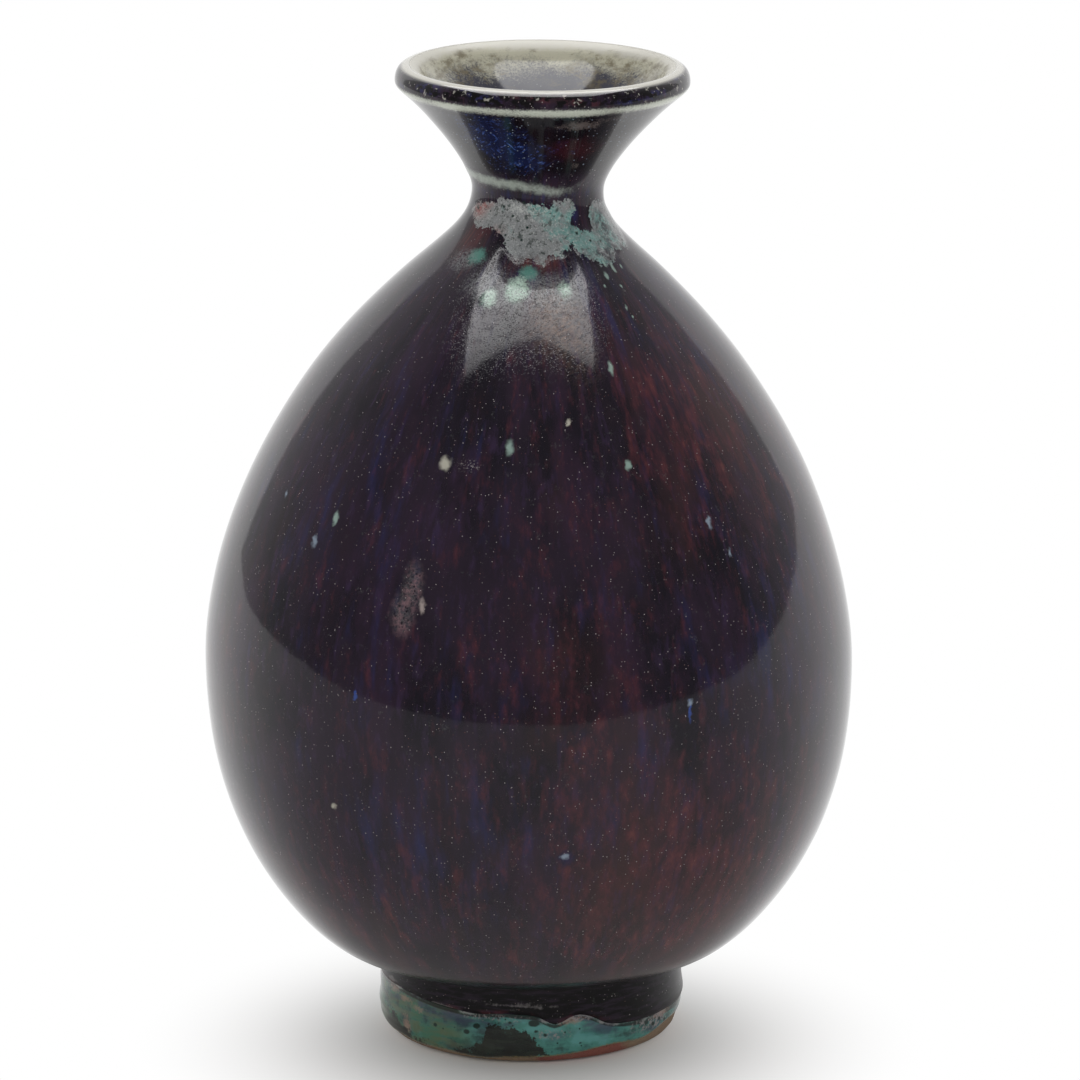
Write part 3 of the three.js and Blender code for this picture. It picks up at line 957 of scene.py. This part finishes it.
def fleck_mask(n, ragged_flow, turn, height, wide, tall):
    """A mask for one fleck at its place on the running glaze."""
    angle = math.radians(turn)
    run = travelled(outer_face)
    down = run[-1] - run[np.argmin(np.abs(outer_face[:, 2] - height))]
    spread = glaze_radius(height) / (belly_radius * wide)
    middle = (belly_radius * math.sin(angle), -belly_radius * math.cos(angle), down)
    scale = (spread, spread, 1 / tall)
    return use_group(n, FLECK, {"Place": ragged_flow, "Middle": middle, "Scale": scale})["Mask"]


def clotted_ground(n, flow, wine, blue):
    """The running glaze: ink, aubergine and plum, with clots of brown, cobalt, wine, rust and violet."""
    cloud = n.noise(flow, 0.12, 3.0, 0.6, stretch=(1, 1, 0.5))
    clots = n.noise(flow, 0.6, 5.0, 0.62, stretch=(1, 1, 0.38))
    curds = n.noise(flow, 1.1, 5.0, 0.64, stretch=(1, 1, 0.6))
    threads = n.noise(flow, 1.2, 3.0, 0.5, stretch=(1, 1, 0.16))
    ribbons = n.noise(flow, 0.42, 4.0, 0.58, stretch=(1, 1, 0.3), shift=(37, 11, 5))
    plum = n.noise(flow, 0.2, 4.0, 0.65, stretch=(1, 1, 0.45), shift=(7, 53, 21))
    warmth = n.noise(flow, 0.16, 3.0, 0.55, stretch=(1, 1, 0.5), shift=(19, 2, 71))
    violet = n.noise(flow, 0.8, 5.0, 0.65, stretch=(1, 1, 0.35), shift=(61, 23, 9))
    warm_level = n.total((warmth, 0.7), (wine, 0.6))
    blue_level = n.total((ribbons, 0.75), (threads, 0.25), (blue, 0.3))
    wine_level = n.total((clots, 0.6), (curds, 0.3), (threads, 0.1), (wine, 0.26))
    rust_level = n.total((clots, 0.25), (curds, 0.65), (threads, 0.1), (wine, 0.2))
    ground = n.lay("aubergine", "ink", n.share(cloud, 0.36, 0.62))
    ground = n.lay("plum", ground, n.share(plum, 0.46, 0.66), 0.6)
    ground = n.lay("warm brown", ground, n.share(warm_level, 0.38, 0.78), 0.8)
    ground = n.lay("cobalt", ground, n.share(blue_level, 0.54, 0.88), 0.6)
    ground = n.lay("wine", ground, n.share(wine_level, 0.52, 0.78), 0.8)
    ground = n.lay("rust", ground, n.share(rust_level, 0.62, 0.78), 0.45)
    return n.lay("violet", ground, n.share(violet, 0.52, 0.74), 0.5)


def brushed_flare(n, place, ground, wine, blue, grain):
    """The nearly black flare, with red and blue haze, crossing blue strokes, toasted marks and specks."""
    flare = n.note("flare")
    patchy = n.noise(place, 0.7, 4.0, 0.65)
    blue_haze = n.times(flare, n.share(n.total((blue, 0.55), (patchy, 1.1)), 0.6, 1.1))
    red_haze = n.times(flare, n.share(n.total((wine, 0.8), (patchy, 0.8)), 0.55, 0.95))
    ground = n.lay("foot ink", ground, flare, 0.85)
    ground = n.lay("flare red", ground, red_haze)
    ground = n.lay("blue glow", ground, blue_haze)
    down_right = n.noise(n.turned(place, 42.0), 1.1, 4.0, 0.68, stretch=(0.55, 1.5, 2.8))
    down_left = n.noise(n.turned(place, -48.0), 1.2, 4.0, 0.68, stretch=(0.5, 1.5, 2.6))
    strokes = n.maths("MAXIMUM", down_right, n.maths("SUBTRACT", down_left, 0.03))
    ground = n.lay("brush blue", ground, n.times(n.share(strokes, 0.55, 0.65), blue_haze), 0.8)
    ground = n.lay("stroke blue", ground, n.times(n.share(strokes, 0.62, 0.72), blue_haze), 0.85)
    toast_level = n.total((n.note("toasted"), 0.45), (patchy, 0.9), (grain, 0.9))
    toast = n.times(n.share(toast_level, 1.08, 1.45), n.share(n.note("toasted"), 0.1, 0.6))
    ground = n.lay("toasted grey", ground, toast, 0.7)
    specks = n.times(pinholes(n, place, 2.1, 0.2)["Mask"], n.share(n.noise(place, 1.1, 2.0), 0.46, 0.6))
    return n.lay("blue white", ground, n.times(specks, flare))


def dark_ends(n, place, ground):
    """Ink on the lip band and the foot, on the foot partly painted shade, a wine-red brink and pale foam
    there, and amber on the shoulder.
    """
    band_noise = n.noise(place, 0.9, 3.0, 0.6, stretch=(1, 1, 1.6))
    ground = n.lay("foot ink", ground, n.times(n.note("band"), n.share(band_noise, 0.6, 0.42)))
    # Near-black ink with aubergine streaks on the foot wall: partly its own colour, partly painted shade.
    streaky = n.noise(place, 1.2, 3.0, 0.6, stretch=(0.35, 0.35, 2.2))
    foot_streaks_and_shade = n.lay("aubergine", "foot ink", n.share(streaky, 0.44, 0.66))
    ground = n.mix(n.note("foot"), ground, foot_streaks_and_shade)
    thin = n.share(n.noise(place, 0.45, 3.0, 0.6, shift=(4, 9, 2)), 0.48, 0.62)
    ground = n.lay("wine", ground, n.times(n.note("brink"), thin), 0.6)
    ground = n.lay("foot pale", ground, ragged(n, place, "foam", 0.22, 0.16, 0.1), 0.5)
    slant = n.noise(n.turned(place, 35.0), 1.5, 5.0, 0.72, stretch=(0.7, 1, 2.2))
    return n.lay("amber", ground, n.times(n.note("amber"), n.share(slant, 0.34, 0.72)), 0.8)


def round_blots(n, place, ground, grain):
    """Green and mint blots on the shoulder, and the grainy pale halos round them."""
    ground = n.lay("green", ground, ragged(n, place, "green", 0.3, 0.4, 0.32), 0.9)
    halo = n.times(ragged(n, place, "halo", 0.3, 0.7, 0.6), n.share(grain, 0.38, 0.6))
    ground = n.lay("flash grey", ground, halo, 0.6)
    mint = n.times(ragged(n, place, "mint", 0.2, 0.45, 0.36), n.share(grain, 0.26, 0.56))
    return n.lay("mint", ground, mint)


def flash_mask(n, place):
    """The opaque flashes, torn open where they are sheer."""
    torn = n.noise(place, 1.3, 5.0, 0.72, stretch=(1, 1, 0.7))
    sheer = n.times(n.note("sheer"), n.share(torn, 0.6, 0.42))
    return n.times(ragged(n, place, "flash", 0.75, 0.75, 0.1), n.rest(n.times(sheer, 0.9)))


def flash_colour(n, place, grain):
    """The opaque flash: grey with white crackle, partly painted highlight on its ridges,
    blue-green clouds, dark grain and burst pinholes.
    """
    mottle = n.noise(place, 0.8, 4.0, 0.65)
    veins = n.noise(place, 1.6, 5.0, 0.7, shift=(9, 4, 2))
    fine = n.noise(place, 3.0, 5.0, 0.82)
    broad = n.noise(place, 1.0, 3.0, 0.6, shift=(5, 1, 8))
    verdant = n.note("verdant")
    green = n.total((mottle, 1.0), (veins, 0.5), (verdant, 0.4))
    colour = n.lay("flash green", "flash grey", n.share(green, 0.82, 1.16))
    colour = n.lay("rose", colour, n.times(n.note("rosy"), n.share(mottle, 0.36, 0.56)))
    # White crackle and white grain, strongest at the flashes' tops: partly the flash's own crackle, partly
    # painted highlights.
    crackle = n.share(n.maths("ABSOLUTE", n.centred(veins)), 0.05, 0.0)
    crackle = n.times(crackle, n.share(mottle, 0.4, 0.54))
    crackle = n.times(crackle, n.share(n.note("white"), -0.6, 0.8))
    colour = n.lay("flash white", colour, crackle, 0.8)
    white = n.total((grain, 0.6), (fine, -0.5), (n.note("white"), 0.07))
    colour = n.lay("flash white", colour, n.share(white, 0.07, 0.17), 0.75)
    dark_grain = n.total((fine, 0.8), (broad, 0.4), (verdant, 0.03))
    colour = n.lay("grey green", colour, n.share(dark_grain, 0.575, 0.49), 0.9)
    return n.lay("pit", colour, pinholes(n, place, 0.85, 0.17)["Mask"])


def pale_mask(n, place, grain_edge):
    """Where the glaze ran thin and pale on the neck."""
    cloud = n.centred(n.noise(place, 1.3, 2.0))
    return n.share(n.total((n.note("pale"), 1.0), (grain_edge, 1.1), (cloud, 0.8)), 0.12, 1.2)


def pale_lip(n, place, ground, grain_edge):
    """The celadon line under the lip, cream drops on the lip band and the cream crest."""
    line = n.share(n.total((n.note("lip"), 1.0), (grain_edge, 1.5)), 0.25, 1.0)
    ground = n.lay("lip celadon", ground, line)
    drops = n.times(n.share(n.noise(place, 1.5, 3.0, 0.65), 0.6, 0.68), n.note("band"))
    ground = n.lay("crest cream", ground, drops, 0.6)
    return n.lay("crest cream", ground, n.note("crest"))


def flecks_and_spots(n, place, flow, ground, grain):
    """Single flecks, one a painted highlight, the mottled spot with its burst bubbles, and the scuffed spot.
    """
    wander = n.add("ShaderNodeTexNoise", {"Vector": place, "Scale": 1.6, "Detail": 2.0}).outputs["Color"]
    wander = n.vector("MULTIPLY", n.vector("SUBTRACT", wander, (0.5, 0.5, 0.5)), (0.9, 0.9, 0.9))
    ragged_flow = n.vector("ADD", flow, wander)
    for colour, flecks in FLECKS.items():
        for fleck in flecks:
            ground = n.lay(colour, ground, fleck_mask(n, ragged_flow, *fleck), 0.7)
    mottled = n.maths("MAXIMUM", *(fleck_mask(n, ragged_flow, *spot) for spot in MOTTLED_SPOT))
    burst = n.noise(place, 0.9, 5.0, 0.72)
    spot_colour = n.lay("pink brown", "spot grey", n.share(burst, 0.42, 0.58))
    spot = n.times(mottled, n.share(n.total((burst, 0.6), (grain, 0.4)), 0.3, 0.6))
    ground = n.mix(n.times(spot, 0.8), ground, spot_colour)
    burst_pits = pinholes(n, place, 2.4, 0.38)["Mask"]
    ground = n.lay("ink", ground, n.times(burst_pits, n.times(mottled, 0.9)))
    scuffed = n.times(fleck_mask(n, ragged_flow, *SCUFFED_SPOT), n.share(grain, 0.55, 0.66))
    return n.lay("speck", ground, scuffed, 0.5)


def pinpoint_specks(n, place, ground):
    """Orange and pale pinpoints of uneven brightness, in drifts."""
    specks = pinholes(n, place, 2.7, 0.155)
    chance = specks["Chance"]
    colour = n.lay("speck", "orange speck", n.share(chance, 0.25, 0.6))
    brightness = n.times(specks["Mask"], n.share(chance, 0.0, 0.8))
    brightness = n.times(brightness, n.share(n.noise(place, 1.4, 1.0), 0.4, 0.6))
    return n.mix(brightness, ground, colour)


def dark_glaze():
    """Aubergine glaze with running clots of wine and cobalt, opaque flashes and pale thin edges."""
    material, n, shader = glaze_material("dark_aubergine_glaze", 0.07)
    place = n.place()
    flow = n.note("flow", "Vector")
    wine = n.note("wine")
    blue = n.note("blue")
    grain = n.noise(place, 5.0, 3.0, 0.7)
    grain_edge = n.times(n.centred(grain), 0.8)
    flash = flash_mask(n, place)
    pale = pale_mask(n, place, grain_edge)
    ground = clotted_ground(n, flow, wine, blue)
    ground = brushed_flare(n, place, ground, wine, blue, grain)
    ground = dark_ends(n, place, ground)
    ground = round_blots(n, place, ground, grain)
    ground = n.mix(flash, ground, flash_colour(n, place, grain))
    ground = n.lay("celadon", ground, pale, 0.85)
    ground = pale_lip(n, place, ground, grain_edge)
    ground = flecks_and_spots(n, place, flow, ground, grain)
    ground = pinpoint_specks(n, place, ground)

    pitted = n.note("pitted")
    foot = n.note("foot")
    matt = n.total((n.noise(place, 6.5, 3.0, 0.8), 1.0), (n.noise(place, 0.9, 2.0), 0.3))
    matt = n.times(n.share(matt, 0.66, 0.74), pitted)
    duller = n.times(n.maths("MAXIMUM", flash, pale), 0.16)
    roughness = n.total((duller, 1.0), (foot, 0.26), (matt, 0.2))
    n.put(shader.inputs["Roughness"], n.maths("ADD", roughness, 0.06))
    broken = n.times(n.note("brink"), n.share(n.noise(place, 0.4, 3.0, 0.6), 0.68, 0.58))
    level = n.total((matt, -0.3), (broken, -0.22), (foot, -0.28))
    n.put(shader.inputs["Specular IOR Level"], n.maths("ADD", level, 0.56))
    pits = n.maths("ADD", n.times(pitted, 0.5), 0.06)
    give_surface(n, shader, ground, skin(n, place, 0.35, pits), 0.5, 0.03)
    return material


def liner_glaze():
    """Cream at the crest, celadon below it, then grey and blue-black specks down the throat."""
    material, n, shader = glaze_material("celadon_liner_glaze", 0.09)
    place = n.place()
    height = n.note("height")
    grain = n.noise(place, 4.5, 4.0, 0.72)
    cloud = n.noise(place, 0.35, 2.0)
    level = n.total((height, 1.0), (n.centred(cloud), 3.0), (n.centred(grain), 4.5))
    colour = n.lay("liner", "throat", n.share(level, 96.6, 99.0))
    drawn = n.noise(place, 0.55, 4.0, 0.7, stretch=(1, 1, 2.0))
    aside = n.maths("ABSOLUTE", n.parts(place)["X"])
    toasted = n.total((drawn, 1.0), (n.share(aside, 2.0, 7.0), 0.12), (n.centred(grain), 0.4))
    toasted = n.times(n.share(toasted, 0.52, 0.76), n.share(height, 95.0, 97.0))
    colour = n.lay("toasted", colour, toasted, 0.8)
    crest = n.total((height, 1.0), (n.centred(cloud), 1.5), (n.centred(grain), 0.8))
    colour = n.lay("crest cream", colour, n.share(crest, 99.1, 99.75))
    specks = n.times(pinholes(n, place, 1.9, 0.13)["Mask"], n.share(level, 98.6, 96.0))
    colour = n.lay("flash grey", colour, specks)
    duller = n.times(n.share(height, 98.4, 99.4), 0.25)
    n.put(shader.inputs["Roughness"], n.maths("ADD", duller, 0.09))
    give_surface(n, shader, colour, skin(n, place, 0.5, 0.2), 0.4, 0.02)
    return material


def foot_hem(n, place, colour, grain):
    """Under the dark glaze: slate shadow, a frayed pale fringe and a thin black hem."""
    under = n.note("under")
    slate = n.noise(place, 0.6, 3.0, 0.6, stretch=(0.4, 0.4, 1.6), shift=(3, 8, 1))
    slate = n.times(n.share(slate, 0.44, 0.64), n.share(under, 2.2, 0.2))
    colour = n.lay("foot slate", colour, slate, 0.8)
    frayed = n.total((n.noise(place, 0.5, 3.0, 0.6), 3.2), (n.centred(grain), 0.8))
    fringe = n.share(n.total((under, 1.0), (frayed, 0.5)), 0.8, 0.54)
    fringe = n.times(fringe, n.share(n.noise(place, 0.36, 2.0), 0.46, 0.6))
    colour = n.lay("foot pale", colour, fringe, 0.8)
    hem = n.share(under, 0.16, -0.02)
    return n.lay("foot black", colour, n.times(hem, n.maths("SUBTRACT", 0.9, fringe)))


def foot_glaze():
    """Mottled turquoise, olive to the left, with a burnt patch, dark spots and pale and pink fringes."""
    material, n, shader = glaze_material("turquoise_foot_glaze", 0.12)
    place = n.place()
    turn = n.note("turn")
    cloud = n.noise(place, 0.5, 4.0, 0.6)
    drawn = n.noise(place, 0.8, 4.0, 0.62, stretch=(0.4, 0.4, 1.8))
    grain = n.noise(place, 3.5, 3.0, 0.65)
    tone = n.total((cloud, 0.65), (drawn, 0.35), (n.note("tone"), 0.11))
    colour = n.lay("turquoise", "deep turquoise", n.share(tone, 0.38, 0.56))
    colour = n.lay("foot cyan", colour, n.share(tone, 0.54, 0.66), 0.8)
    to_left = n.times(n.share(turn, -18.0, -34.0), n.share(turn, -150.0, -95.0))
    colour = n.lay("leaf green", colour, n.times(to_left, n.share(cloud, 0.4, 0.56)), 0.9)
    colour = n.lay("olive", colour, n.times(to_left, n.share(drawn, 0.4, 0.62)), 0.6)
    colour = foot_hem(n, place, colour, grain)

    colour = n.lay("foot pink", colour, ragged(n, place, "pink", 0.3, 0.5, 0.3), 0.7)
    mottle = n.times(ragged(n, place, "mottle", 0.5, 0.5, 0.3), n.share(grain, 0.45, 0.6))
    colour = n.lay("foot pale", colour, mottle)
    burnt = ragged(n, place, "burnt", 1.1, 1.0, 0.22)
    burnt_colour = n.lay("burnt olive", "foot black", n.share(drawn, 0.44, 0.62))
    colour = n.mix(n.times(burnt, 0.97), colour, burnt_colour)
    colour = n.lay("pit", colour, ragged(n, place, "spots", 0.06, 0.05, 0.07))
    colour = n.lay("pit", colour, pinholes(n, place, 0.9, 0.12)["Mask"])
    bare = n.total((n.note("above"), 1.0), (n.centred(grain), 0.6))
    colour = n.lay("ochre", colour, n.share(bare, 0.4, 0.05))
    n.put(shader.inputs["Roughness"], n.maths("ADD", n.times(burnt, 0.08), 0.12))
    give_surface(n, shader, colour, skin(n, place, 0.9, 0.3), 0.5, 0.03)
    return material


def bare_clay():
    """Fired clay: tan, red-brown on the right, with fine dark grit."""
    material, n, shader = glaze_material("bare_fired_clay", 0.8)
    place = n.place()
    cloud = n.noise(place, 0.25, 3.0, 0.6)
    grit = n.noise(place, 6.0, 3.0, 0.7)
    across = n.parts(place)["X"]
    redness = n.times(n.share(across, -0.5, 2.5), n.share(across, 11.5, 8.0))
    redness = n.total((redness, 0.5), (cloud, 1.2))
    colour = n.lay("red clay", "clay", n.share(redness, 0.7, 1.05))
    colour = n.lay("foot black", colour, n.share(grit, 0.52, 0.72), 0.6)
    give_surface(n, shader, colour, grit, 0.6, 0.06)
    return material


def base_wash():
    """The thin brown wash in the well under the foot."""
    material, n, shader = glaze_material("thin_brown_wash", 0.35)
    place = n.place()
    cloud = n.noise(place, 0.5, 3.0, 0.6)
    colour = n.lay("red clay", "brown wash", n.share(cloud, 0.4, 0.62))
    give_surface(n, shader, colour, skin(n, place, 1.2, 0.4), 0.6, 0.04)
    return material


def dress(piece, material, node):
    piece.data.materials.append(material)
    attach(piece, "root")
    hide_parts(node)


def stage_mesh(name, corners):
    """One flat face of the studio, with a material of its own that has no shader yet."""
    mesh = bpy.data.meshes.new(name)
    mesh.from_pydata(corners, [], [tuple(range(len(corners)))])
    stage = bpy.data.objects.new(name, mesh)
    bpy.context.scene.collection.objects.link(stage)
    material = bpy.data.materials.new(name + "_surface")
    material.use_nodes = True
    tree = material.node_tree
    tree.nodes.remove(tree.nodes["Principled BSDF"])
    mesh.materials.append(material)
    return stage, Nodes(tree), tree.nodes["Material Output"].inputs["Surface"]


def table_glow(n, azimuth):
    """How bright the white surface is in reflections: full behind the pot, dimmer in front."""
    behind = n.share(azimuth, math.radians(TABLE_DIM_TO), math.radians(TABLE_DIM_FROM))
    return n.between(behind, TABLE_MIRRORED, 1)


def make_table():
    """White table top. Far from the pot the camera sees it as plain white, so that it has no end."""
    _, n, surface = stage_mesh("table_top", [(x, y, 0) for x, y in TABLE_EDGE])
    where = n.add("ShaderNodeTexCoord").outputs["Object"]
    from_shade = n.vector("SUBTRACT", where, (0, TABLE_SHADE_Y, 0))
    far = n.share(n.length(from_shade), TABLE_WHITE_FROM, TABLE_WHITE_TO)
    path = n.add("ShaderNodeLightPath").outputs
    cloth = n.add("ShaderNodeBsdfDiffuse", {"Color": TABLE_COLOUR}).outputs[0]
    white = n.add("ShaderNodeEmission", {"Strength": 1.0}).outputs[0]
    mirrored = n.add("ShaderNodeEmission", {"Strength": table_glow(n, n.azimuth(where))}).outputs[0]
    to_camera = n.times(far, path["Is Camera Ray"])
    to_gloss = n.times(far, path["Is Glossy Ray"])
    seen = n.add("ShaderNodeMixShader", {0: to_camera, 1: cloth, 2: white}).outputs[0]
    n.put(surface, n.add("ShaderNodeMixShader", {0: to_gloss, 1: seen, 2: mirrored}).outputs[0])


def make_lamp():
    """The soft lamp overhead, dimmer towards its front edge. The camera doesn't see it."""
    x, front, back = LAMP_HALF_WIDTH, LAMP_FRONT, LAMP_BACK
    outline = ((-x, front), (-x, back), (x, back), (x, front))
    lamp, n, surface = stage_mesh("soft_lamp", [(*corner, LAMP_HEIGHT) for corner in outline])
    lamp.visible_camera = False
    parts = n.parts(n.add("ShaderNodeTexCoord").outputs["Object"])
    inside = n.share(parts["Y"], front, front + LAMP_FADE)
    level = n.between(inside, LAMP_EDGE_SHARE, 1)
    sideways = n.share(n.maths("ABSOLUTE", parts["X"]), LAMP_CORNER_FROM, x)
    near_front = n.share(parts["Y"], front + 3 * LAMP_FADE, front)
    corner = n.times(n.times(sideways, near_front), 1 - LAMP_CORNER_SHARE)
    level = n.times(level, n.rest(corner))
    mirrored = n.add("ShaderNodeLightPath").outputs["Is Glossy Ray"]
    strength = n.between(mirrored, LAMP_LIGHT, LAMP_MIRRORED)
    n.put(surface, n.add("ShaderNodeEmission", {"Strength": n.times(level, strength)}).outputs[0])


def make_room():
    """White to the camera, an even fill as light, and mirrored as white behind the pot and dim in front."""
    world = bpy.data.worlds.new("studio")
    world.use_nodes = True
    bpy.context.scene.world = world
    n = Nodes(world.node_tree)
    direction = n.add("ShaderNodeTexCoord").outputs["Generated"]
    parts = n.parts(direction)
    azimuth = n.azimuth(direction)
    low = math.radians(SWEEP_AZIMUTH - SWEEP_SOFT)
    high = math.radians(SWEEP_AZIMUTH + SWEEP_SOFT)
    right = n.share(parts["X"], -SWEEP_MIDDLE, SWEEP_MIDDLE)
    wider = n.times(right, math.radians(SWEEP_WIDER_RIGHT))
    behind = n.share(n.maths("SUBTRACT", azimuth, wider), high, low)
    over_curl = n.total((parts["Z"], 1.0), (azimuth, SWEEP_CURL_FALL))
    under_curl = n.share(over_curl, SWEEP_CURL_HEIGHT + SWEEP_CURL_SOFT, SWEEP_CURL_HEIGHT - SWEEP_CURL_SOFT)
    curl = n.times(n.times(under_curl, right), table_glow(n, azimuth))
    side = n.add(
        "ShaderNodeMapRange",
        {"Value": azimuth, "From Min": high, "From Max": math.radians(SIDE_GLOW_END),
         "To Min": SIDE_GLOW, "To Max": ROOM_GLOW},
    ).outputs["Result"]
    room = n.maths("MAXIMUM", n.maths("MAXIMUM", behind, side), curl)
    path = n.add("ShaderNodeLightPath").outputs
    mirrored = n.maths("ADD", path["Is Glossy Ray"], path["Is Transmission Ray"])
    from_room = n.times(mirrored, n.maths("SUBTRACT", room, FILL))
    from_camera = n.times(path["Is Camera Ray"], 1 - FILL)
    level = n.maths("ADD", n.maths("ADD", from_room, from_camera), FILL)
    sky = world.node_tree.nodes["Background"]
    sky.inputs["Color"].default_value = (1, 1, 1, 1)
    n.put(sky.inputs["Strength"], level)


def make_camera():
    data = bpy.data.cameras.new("photo_camera")
    data.lens = CAMERA_LENS
    data.sensor_width = CAMERA_SENSOR
    data.clip_start = 0.01
    data.clip_end = 20
    camera = bpy.data.objects.new("photo_camera", data)
    bpy.context.scene.collection.objects.link(camera)
    camera.location = CAMERA_PLACE
    camera.rotation_euler = (math.radians(90 - CAMERA_PITCH), 0, 0)
    bpy.context.scene.camera = camera


make_camera()
dress(make_pot(), bare_clay(), "stoneware_pot")
dress(make_outer_glaze(), dark_glaze(), "outer_glaze")
dress(make_liner_glaze(), liner_glaze(), "liner_glaze")
dress(make_foot_band(), foot_glaze(), "foot_glaze_band")
dress(make_base_glaze(), base_wash(), "base_glaze")
make_table()
make_lamp()
make_room()
bpy.context.scene.view_settings.view_transform = "Standard"
